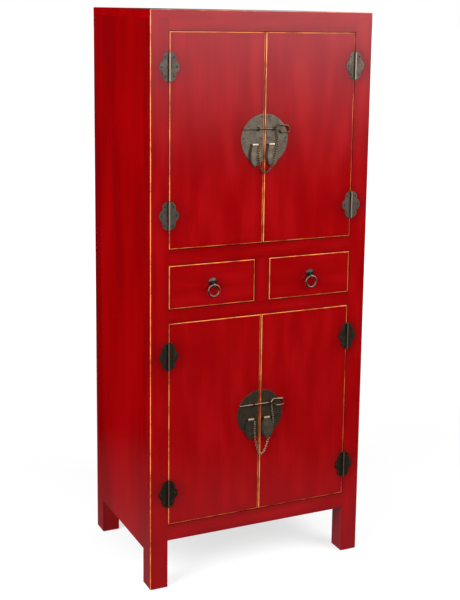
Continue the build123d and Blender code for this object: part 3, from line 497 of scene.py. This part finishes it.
# ---- nails and hinge pins -------------------------------------------------------------------
# Hand-cut iron nails with low round heads, driven through the sheet, and the iron pins that each
# hinge turns on.  Both have gone a dull black.
nail_iron = aged_metal("black_iron", "#14110E", "#221D19", "#38302A", "#4A4038", proud=(3.0, 6.0),
                       metallic=0.6, rough=(0.6, 0.45))
for node in frame["nodes"]:
    if node.startswith(("hinge_pins", "nails")):
        paint(node, nail_iron)

# ---- staples, lock pins and ring pulls ------------------------------------------------------
# Bent and forged brass rod.  Pins and rings slide and swing every day, so they are paler and
# smoother than the sheet, with painted shade below; the staples and mounts that hold them stay dark.
PIN_BRASS = {
    "upper": aged_metal("brown_pin_brass", "#4B3F32", "#75654F", "#A5927A", metallic=0.95,
                        rough=(0.36, 0.26), dirt="underside"),
    "lower": aged_metal("pale_pin_brass", "#7A664F", "#A58F74", "#CDB699", metallic=0.95,
                        rough=(0.36, 0.26), dirt="underside")}
staple_brass = aged_metal("dark_staple_brass", "#171310", "#2D261F", "#4A4035", metallic=0.9,
                          rough=(0.45, 0.3))
ring_brass = aged_metal("worn_ring_brass", "#5C5249", "#8A7E71", "#B3A697", metallic=0.95,
                        rough=(0.36, 0.24), dirt="underside")
mount_brass = aged_metal("forged_mount_brass", "#2B2622", "#49423B", "#6F665D", "#8D8479",
                         proud=(6.0, 14.0), metallic=0.95, rough=(0.34, 0.2))
for node in frame["nodes"]:
    if node.startswith("lock_pin"):
        paint(node, PIN_BRASS["upper" if "upper" in node else "lower"])
    elif node.startswith("staples"):
        paint(node, staple_brass)
    elif node.startswith("ring_mount"):
        paint(node, mount_brass)
    elif node.startswith("ring"):
        paint(node, ring_brass)

# ---- leaf pulls -----------------------------------------------------------------------------
# A leaf of sheet brass, a little hollow, whose top is rolled into a barrel round its staple.  Thumbs
# keep the barrel bright; the leaf's rim and its left flank are painted black as the shadow beside it.
BARREL_R, BORE_R, BARREL_HALF, BARREL_END = 3.0, 1.4, 7.0, 0.7      # all of a pull is in mm
LEAF_LENGTH, LEAF_WIDEST = 49.0, 23.0       # it is widest so far below its barrel
LEAF_CROWN = 0.5                # how far its middle stands forward of its edges
LEAF_OUT = -1.6                 # middle of the sheet, from the barrel's axis
LEAF_T = 1.2
LEAF_CURL = 0.6                 # how far its tip turns back to the wood
LEAF_EASE = 0.3
SHOULDER_ROUND, TIP_ROUND, TIP_BLUNT = 0.9, 2.1, 0.72
TIP_ROWS = 1.35                 # the grid's rows stand closer at the tip
BLACK_FLANK = 0.72              # the left flank is painted black as shadow from this share of the half width out
# middle of each pull from the seam, half its width, and the degrees that it stands off its plate
PULLS = {("upper", "left"): (-24.0, 14.0, 0.0), ("upper", "right"): (16.5, 14.0, 0.0),
         ("lower", "left"): (-24.0, 14.0, 0.0), ("lower", "right"): (16.5, 15.0, 11.0)}
PULL_OUT, PULL_DROP = 4.6, 11.0             # its axis, from the wood and below the plate's middle
LEAF_BRASS = {
    "upper": aged_metal("pickled_leaf_brass", "#4A4035", "#6C5F4F", "#8C7C66"),
    "lower": aged_metal("dark_leaf_brass", "#352C23", "#4B4135", "#635746")}
BARREL_BRASS = {
    "upper": aged_metal("bright_barrel_brass", "#A08D72", "#BFAE92", "#D2C3A8", metallic=0.8,
                        rough=(0.5, 0.4)),
    "lower": aged_metal("dull_barrel_brass", "#7F6E58", "#A08E74", "#B9A88D", metallic=0.8,
                        rough=(0.5, 0.4))}
rim_brass = aged_metal("painted_shadow_rim_brass", "#0F0C09", "#1A1510", "#261F18", metallic=0.3,
                       rough=(0.7, 0.6))
LEAF_FACES, BARREL_FACES, RIM_FACES = 0, 1, 2


def leaf_half(share, widest):
    """Half the leaf's width at a share of its length: rounded shoulders, full middle, blunt tip."""
    top = LEAF_WIDEST / LEAF_LENGTH
    if share < top:
        bulge = math.sin(math.pi / 2 * share / top) ** SHOULDER_ROUND
        return BARREL_HALF + (widest - BARREL_HALF) * bulge
    return widest * max(1.0 - ((share - top) / (1.0 - top)) ** TIP_ROUND, 0.0) ** TIP_BLUNT


def pull_mesh(name, widest):
    """One pull in millimetres round its staple's axis: X along it, Y out of the wood, Z up."""
    shape = bmesh.new()
    bmesh.ops.create_grid(shape, x_segments=12, y_segments=22, size=0.5)
    for vert in shape.verts:
        across, share = 2 * vert.co.x, 0.5 - vert.co.y
        share = 1 - (1 - share) ** TIP_ROWS
        settle = min(share * 4, 1.0)            # it is flat where it leaves the barrel
        vert.co = Vector((across * leaf_half(share, widest),
                          LEAF_OUT - LEAF_CROWN * across ** 2 * settle - LEAF_CURL * share ** 3,
                          -LEAF_LENGTH * share))
    bmesh.ops.remove_doubles(shape, verts=shape.verts, dist=0.02)
    bmesh.ops.recalc_face_normals(shape, faces=shape.faces)
    if sum(f.normal.y for f in shape.faces) > 0:
        bmesh.ops.reverse_faces(shape, faces=shape.faces)
    bmesh.ops.solidify(shape, geom=shape.faces[:], thickness=LEAF_T)
    bmesh.ops.recalc_face_normals(shape, faces=shape.faces)
    rim = [e for e in shape.edges if e.is_manifold and e.calc_face_angle() > RIM_ANGLE]
    bmesh.ops.bevel(shape, geom=rim, offset=LEAF_EASE, offset_type="OFFSET", segments=2, profile=0.5,
                    affect="EDGES", clamp_overlap=True, material=-1)
    leaf_faces = set(shape.faces)
    for face in leaf_faces:
        middle = face.calc_center_median()
        flank = BLACK_FLANK * leaf_half(min(max(-middle.z / LEAF_LENGTH, 0.0), 1.0), widest)
        # painted shadow: the rim faces and the left flank are black
        black = abs(face.normal.y) < 0.5 or middle.x > flank
        face.material_index = RIM_FACES if black else LEAF_FACES
    corners = [(-BARREL_HALF, BORE_R), (-BARREL_HALF, BARREL_R - BARREL_END),
               (BARREL_END - BARREL_HALF, BARREL_R), (BARREL_HALF - BARREL_END, BARREL_R),
               (BARREL_HALF, BARREL_R - BARREL_END), (BARREL_HALF, BORE_R)]
    verts = [shape.verts.new((x, 0.0, r)) for x, r in corners]
    edges = [shape.edges.new((verts[i], verts[(i + 1) % len(verts)])) for i in range(len(verts))]
    bmesh.ops.spin(shape, geom=verts + edges, cent=(0, 0, 0), axis=(1, 0, 0), angle=2 * math.pi, steps=24,
                   use_merge=True)
    barrel = [face for face in shape.faces if face not in leaf_faces]
    bmesh.ops.recalc_face_normals(shape, faces=barrel)
    for face in barrel:
        face.material_index = BARREL_FACES
    for face in shape.faces:
        face.smooth = True
    data = bpy.data.meshes.new(name)
    shape.to_mesh(data)
    shape.free()
    return data


for (level, side), (seam_x, widest, tilt) in PULLS.items():
    tag = level + "_" + side
    data = pull_mesh("leaf_pull_" + tag, widest)
    # Y points out of the wood in the pull's own sizes and into it in the cabinet's
    turn = Matrix.Rotation(math.radians(180), 4, "Z") @ Matrix.Rotation(math.radians(tilt), 4, "X")
    axis = Vector((seam_x * MM, FRONT_Y - PULL_OUT * MM, LOCK_HEIGHT[level] - PULL_DROP * MM))
    data.transform(Matrix.Translation(axis) @ turn @ Matrix.Scale(MM, 4))
    data.set_sharp_from_angle(angle=SMOOTH_ANGLE)
    for made in (LEAF_BRASS[level], BARREL_BRASS[level], rim_brass):
        data.materials.append(made)
    hang("leaf_pull_" + tag, data, "pull_" + tag, "aged_brass", "pull_" + tag)

# ---- chains ---------------------------------------------------------------------------------
# Oval links of brass wire, each a quarter turn from the next, hooked into the neck of a lock pin and
# hung from there down and up to the left pull's staple.
CHAIN_DIAMETER = 4.6            # over a link's width, in mm as all of a chain
CHAIN_SPECKS_PER_M = 400.0      # pits, 2.5 mm
CHAIN_GLOSS = 0.38              # as roughness
CHAIN_PIT_DEEP = 0.2 * MM


def chain_brass(name, dirty, mid, bright):
    """Brass links rubbed bright along their middles, dark where they hook into each other with grime and
    painted shade: from afar a beaded line."""
    made, tree, shader, place = start_material(name)
    wear = add(tree, "Attribute", out=2, attribute_name="wear")
    specks = add(tree, "TexNoise", {"Vector": place, "Scale": CHAIN_SPECKS_PER_M, "Detail": 3.0,
                                    "Roughness": 0.6})
    both = add(tree, "Mix", {0: SPECK_SHARE, 2: wear, 3: specks}, data_type="FLOAT")
    colour = add(tree, "ValToRGB", (both,), stops=[(0.38, dirty), (0.8, bright), (0.6, mid)])
    tree.links.new(colour, shader.inputs["Base Color"])
    shader.inputs["Metallic"].default_value = 0.85
    shader.inputs["Roughness"].default_value = CHAIN_GLOSS
    bump = add(tree, "Bump", {"Height": specks, "Strength": 0.3, "Distance": CHAIN_PIT_DEEP})
    tree.links.new(bump, shader.inputs["Normal"])
    return made


CHAIN_BRASS = {"upper": chain_brass("dark_chain_brass", "#0E0B08", "#3B3127", "#8E7A61"),
               "lower": chain_brass("bright_chain_brass", "#120D09", "#7F6A51", "#F0D8B4")}
# points of each line, in mm: from the seam, above the plate's middle, and out of the wood
ROUTES = {
    "upper": [(27.8, 22.0, 4.3), (30.6, 9.0, 4.4), (30.6, -7.0, 4.6), (28.0, -22.0, 6.0),
              (24.0, -37.0, 6.4), (20.5, -51.0, 6.2), (14.0, -66.0, 5.4), (2.5, -76.5, 4.6),
              (-8.5, -69.0, 4.8), (-13.5, -55.0, 6.2), (-16.5, -41.0, 6.5), (-16.8, -26.0, 6.4),
              (-14.2, -12.8, 5.9)],
    "lower": [(27.8, 22.0, 4.3), (30.6, 8.0, 4.0), (31.6, -7.0, 3.9), (34.2, -21.0, 3.9),
              (33.4, -35.0, 3.8), (28.0, -49.0, 4.3), (22.2, -62.0, 4.5), (18.0, -74.5, 4.4),
              (15.0, -86.0, 4.2), (8.6, -97.5, 4.0), (-1.0, -97.8, 4.1), (-6.6, -86.0, 4.4),
              (-10.0, -74.4, 4.9), (-12.5, -62.6, 5.7), (-14.3, -50.2, 6.3), (-15.5, -37.2, 6.5),
              (-15.6, -24.7, 6.4), (-14.2, -12.8, 5.9)],
}


def hanging_line(level):
    """Points along the smooth line that a chain hangs in, and its length."""
    route = [Vector((x * MM, FRONT_Y - out * MM, LOCK_HEIGHT[level] + z * MM))
             for x, z, out in ROUTES[level]]
    curve = bpy.data.curves.new("route_" + level, "CURVE")
    curve.dimensions = "3D"
    curve.resolution_u = 24
    spline = curve.splines.new("NURBS")
    spline.points.add(len(route) - 1)
    for point, place in zip(spline.points, route):
        point.co = (*place, 1.0)
    spline.order_u = 3
    spline.use_endpoint_u = True
    holder = bpy.data.objects.new("route_" + level, curve)
    bpy.context.scene.collection.objects.link(holder)
    line = bpy.data.meshes.new_from_object(holder)
    points = [v.co.copy() for v in line.vertices]
    bpy.data.objects.remove(holder)
    bpy.data.meshes.remove(line)
    length = sum((b - a).length for a, b in zip(points, points[1:]))
    return points, length


def along(points, distance):
    """The place and the direction at a distance along a line."""
    for a, b in zip(points, points[1:]):
        run = (b - a).length
        if distance <= run:
            return a.lerp(b, distance / run), (b - a).normalized()
        distance -= run
    return points[-1], (points[-1] - points[-2]).normalized()


LINK_WIRE = 0.8                 # radius of a link's wire
LINK_PITCH = 5.4                # from one link to the next
LINK_STEPS, WIRE_SIDES = 14, 6
LINK_LONG = (LINK_PITCH + 2 * LINK_WIRE) / 2        # half the wire's line, end to end
LINK_WIDE = (CHAIN_DIAMETER - 2 * LINK_WIRE) / 2    # half the wire's line, side to side
LINK_REACH = LINK_LONG + LINK_WIRE                  # from a link's middle to its end
LINK_TURN = 40                  # the first link's turn from flat on the wood, in degrees


def one_link():
    """An oval ring of round wire, long along X and flat in XY, in millimetres."""
    shape = bmesh.new()
    cut = Matrix.Translation((0, 1, 0)) @ Matrix.Rotation(math.pi / 2, 4, "Y")
    bmesh.ops.create_circle(shape, segments=WIRE_SIDES, radius=LINK_WIRE, matrix=cut)
    bmesh.ops.spin(shape, geom=shape.verts[:] + shape.edges[:], cent=(0, 0, 0), axis=(0, 0, 1),
                   angle=2 * math.pi, steps=LINK_STEPS, use_merge=True)
    for vert in shape.verts:
        flat = Vector((vert.co.x, vert.co.y, 0.0))
        out = flat.normalized()
        bulge = flat.length - 1.0
        vert.co = Vector((out.x * (LINK_LONG + bulge), out.y * (LINK_WIDE + bulge), vert.co.z))
    bmesh.ops.recalc_face_normals(shape, faces=shape.faces)
    for face in shape.faces:
        face.smooth = True
    return shape


for level in LEVELS:
    points, length = hanging_line(level)
    count = round((length / MM - 2 * LINK_REACH) / LINK_PITCH) + 1
    pitch = (length - 2 * LINK_REACH * MM) / (count - 1)
    chain_mesh = bmesh.new()
    shares, wears = [], []
    for i in range(count):
        place, direction = along(points, LINK_REACH * MM + i * pitch)
        side = direction.cross(Vector((0, 1, 0))).normalized()
        up = side.cross(direction)
        turn = Matrix((direction, side, up)).transposed().to_4x4()
        twist = Matrix.Rotation(math.radians(LINK_TURN + 90 * (i % 2)), 4, "X")
        ring = one_link()
        # bright in a link's middle and dark at its ends: wear, grime and painted shade
        wears += [1.0 - min(abs(v.co.x) / LINK_LONG, 1.0) ** 1.5 for v in ring.verts]
        ring.transform(Matrix.Translation(place) @ turn @ twist @ Matrix.Scale(MM, 4))
        single = bpy.data.meshes.new("link")
        ring.to_mesh(single)
        ring.free()
        chain_mesh.from_mesh(single)
        shares += [1.0 - i / (count - 1)] * len(single.vertices)
        bpy.data.meshes.remove(single)
    data = bpy.data.meshes.new("chain_links_" + level)
    chain_mesh.to_mesh(data)
    chain_mesh.free()
    data.attributes.new("wear", "FLOAT", "POINT").data.foreach_set("value", wears)
    chain = bpy.data.objects.new("chain_links_" + level, data)
    bpy.context.scene.collection.objects.link(chain)
    data.materials.append(CHAIN_BRASS[level])
    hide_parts("chain_" + level)
    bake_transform(chain, "door_" + level + "_left", "lock_pin_" + level, start=points[-1], end=points[0])
    # each link follows the pin by its share of the chain's length, counted from the pull
    chain.data.attributes["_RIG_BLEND"].data.foreach_set("value", shares)

# ---- floor ----------------------------------------------------------------------------------
# A pale painted studio floor that runs out of sight.  The eye and reflections see it brighten to
# white away from the cabinet, and it keeps the cabinet's shadow.
WHITE = (1.0, 1.0, 1.0, 1.0)
FLOOR_HALF = 60.0
NEAR_GLOW, FAR_GLOW = 0.68, 1.0
NEAR, FAR = 1.0, 2.4            # metres from the cabinet's middle


def seen_rays(tree):
    """1 for rays to the eye, from a reflection or through glass, and 0 for the light on the cabinet."""
    rays = tree.nodes.new("ShaderNodeLightPath").outputs
    seen = add(tree, "Math", (rays["Is Glossy Ray"], rays["Is Transmission Ray"]), operation="MAXIMUM")
    return add(tree, "Math", (rays["Is Camera Ray"], seen), operation="MAXIMUM")


floor_shape = bmesh.new()
bmesh.ops.create_grid(floor_shape, x_segments=1, y_segments=1, size=FLOOR_HALF)
floor_data = bpy.data.meshes.new("floor")
floor_shape.to_mesh(floor_data)
floor_shape.free()
floor = bpy.data.objects.new("floor", floor_data)
bpy.context.scene.collection.objects.link(floor)
made, tree, shader, place = start_material("white_floor")
shader.inputs["Base Color"].default_value = linear("#A8A8A8")
shader.inputs["Roughness"].default_value = 0.9
shader.inputs["Specular IOR Level"].default_value = 0.0
shader.inputs["Emission Color"].default_value = WHITE
away = add(tree, "VectorMath", (place,), out=1, operation="LENGTH")
glow = add(tree, "MapRange", (away, NEAR, FAR, NEAR_GLOW, FAR_GLOW), interpolation_type="SMOOTHSTEP")
glow = add(tree, "Math", (seen_rays(tree), glow), operation="MULTIPLY")
tree.links.new(glow, shader.inputs["Emission Strength"])
floor_data.materials.append(made)
floor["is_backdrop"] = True

# ---- velvet surround ------------------------------------------------------------------------
# Black velvet on the studio floor and a cloth hung round it, which only reflections see: they keep
# the lacquer deep.  The cloth glows, though it is no lamp, fading from black up to white at the front,
# where the light comes from.
PALE_RADIUS, SURROUND_RADIUS, SURROUND_HEIGHT = 0.08, 2.3, 2.7
LIFT = 0.002                    # the velvet, above the floor
FADE_LOW, FADE_HIGH = 0.62, 1.42            # heights between which the cloth fades
BRIGHT_SIDE = (0.7, -0.7, 0.0)
CLOTH_DARK, CLOTH_BRIGHT = -1.2, 0.6        # places along the bright side's direction
CLOTH_GLOW = 1.65
FEET_GLOW, FEET_GLOW_BACK = 0.28, 0.084     # the velvet glows round the feet, seen in reflections as a pale floor would be
FEET_NEAR, FEET_FAR = 0.3, 1.0
FEET_BACK, FEET_FRONT = -0.5, 0.5
surround_shape = bmesh.new()
bmesh.ops.create_circle(surround_shape, segments=96, radius=PALE_RADIUS,
                        matrix=Matrix.Translation((0, 0, LIFT)))
flat = bmesh.ops.extrude_edge_only(surround_shape, edges=surround_shape.edges[:])["geom"]
ring_verts = [g for g in flat if isinstance(g, bmesh.types.BMVert)]
bmesh.ops.scale(surround_shape, verts=ring_verts,
                vec=(SURROUND_RADIUS / PALE_RADIUS, SURROUND_RADIUS / PALE_RADIUS, 1.0))
ring_edges = [g for g in flat if isinstance(g, bmesh.types.BMEdge)]
wall = bmesh.ops.extrude_edge_only(surround_shape, edges=ring_edges)["geom"]
wall = [g for g in wall if isinstance(g, bmesh.types.BMVert)]
bmesh.ops.translate(surround_shape, verts=wall, vec=(0, 0, SURROUND_HEIGHT))
surround_data = bpy.data.meshes.new("velvet_surround")
surround_shape.to_mesh(surround_data)
surround_shape.free()
surround = bpy.data.objects.new("velvet_surround", surround_data)
bpy.context.scene.collection.objects.link(surround)
made, tree, shader, place = start_material("faded_velvet")
shader.inputs["Base Color"].default_value = linear("#050505")
shader.inputs["Roughness"].default_value = 1.0
shader.inputs["Specular IOR Level"].default_value = 0.0
shader.inputs["Emission Color"].default_value = linear("#EEF1FF")
height = add(tree, "SeparateXYZ", (place,), out=2)
fade = add(tree, "MapRange", (height, FADE_LOW, FADE_HIGH), interpolation_type="SMOOTHSTEP")
towards_light = add(tree, "VectorMath", (place, BRIGHT_SIDE), out=1, operation="DOT_PRODUCT")
sided = add(tree, "MapRange", (towards_light, CLOTH_DARK, CLOTH_BRIGHT, 0.0, CLOTH_GLOW))
glow = add(tree, "Math", (fade, sided), operation="MULTIPLY")
away = add(tree, "VectorMath", (place,), out=1, operation="LENGTH")
by_feet = add(tree, "MapRange", (away, FEET_NEAR, FEET_FAR, 1.0, 0.0))
sided = add(tree, "MapRange", (towards_light, FEET_BACK, FEET_FRONT, FEET_GLOW_BACK, FEET_GLOW))
by_feet = add(tree, "Math", (by_feet, sided), operation="MULTIPLY")
glow = add(tree, "Math", (glow, by_feet), operation="MAXIMUM")
tree.links.new(glow, shader.inputs["Emission Strength"])
surround_data.materials.append(made)
surround.visible_camera = False
surround.visible_diffuse = False
surround.visible_shadow = False
surround.visible_transmission = False
surround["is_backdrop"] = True

# ---- light ----------------------------------------------------------------------------------
# A white sky for the eye and for reflections, dimmer as light; a key softbox at the right front,
# and a broad fill at the left.
SKY_LIGHT = 0.4
world = bpy.data.worlds.new("studio")
bpy.context.scene.world = world
world.use_nodes = True
tree = world.node_tree
strength = add(tree, "MapRange", (seen_rays(tree), 0.0, 1.0, SKY_LIGHT, 1.0))
sky = tree.nodes["Background"]
sky.inputs["Color"].default_value = WHITE
tree.links.new(strength, sky.inputs["Strength"])


def softbox(name, at, towards, wide, tall, watts):
    """A flat lamp of a width and a height in metres, turned towards a place."""
    lamp = bpy.data.lights.new(name, "AREA")
    lamp.shape = "RECTANGLE"
    lamp.size, lamp.size_y = wide, tall
    lamp.energy = watts
    stand = bpy.data.objects.new(name, lamp)
    bpy.context.scene.collection.objects.link(stand)
    stand.location = at
    stand.rotation_mode = "QUATERNION"
    stand.rotation_quaternion = (Vector(towards) - Vector(at)).to_track_quat("-Z", "Y")


softbox("key_softbox", (1.68, -2.08, 1.92), (0.0, 0.0, 0.85), 2.0, 1.16, 82)
softbox("fill_softbox", (-2.6, -1.0, 1.5), (0.0, 0.0, 0.6), 1.8, 1.8, 108)

# ---- camera ---------------------------------------------------------------------------------
# It stands to the left in front of the cabinet, at the height of its top, and looks a little down.
AZIMUTH = math.radians(26.5098)
PITCH = math.radians(10.4003)
ROLL = math.radians(1.1138)
FOCAL = 1194.435            # in pixels of a 460 by 600 render
MIDDLE = (276.0, 224.0)     # where the lens looks, in the same pixels
WIDE, TALL = 460, 600
STAND = (-1.15848, -2.5817, 1.32379)
view = Vector((math.sin(AZIMUTH) * math.cos(PITCH), math.cos(AZIMUTH) * math.cos(PITCH), -math.sin(PITCH)))
level_right = Vector((math.cos(AZIMUTH), -math.sin(AZIMUTH), 0.0))
level_up = level_right.cross(view)
right = math.cos(ROLL) * level_right + math.sin(ROLL) * level_up
up = math.cos(ROLL) * level_up - math.sin(ROLL) * level_right
camera_data = bpy.data.cameras.new("camera")
camera_data.sensor_fit = "AUTO"
camera_data.lens = FOCAL / TALL * camera_data.sensor_width
camera_data.shift_x = (WIDE / 2 - MIDDLE[0]) / TALL
camera_data.shift_y = (MIDDLE[1] - TALL / 2) / TALL
camera = bpy.data.objects.new("camera", camera_data)
bpy.context.scene.collection.objects.link(camera)
camera.matrix_world = Matrix.Translation(STAND) @ Matrix((right, up, -view)).transposed().to_4x4()
bpy.context.scene.camera = camera
bpy.context.scene.view_settings.view_transform = "Standard"

low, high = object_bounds()
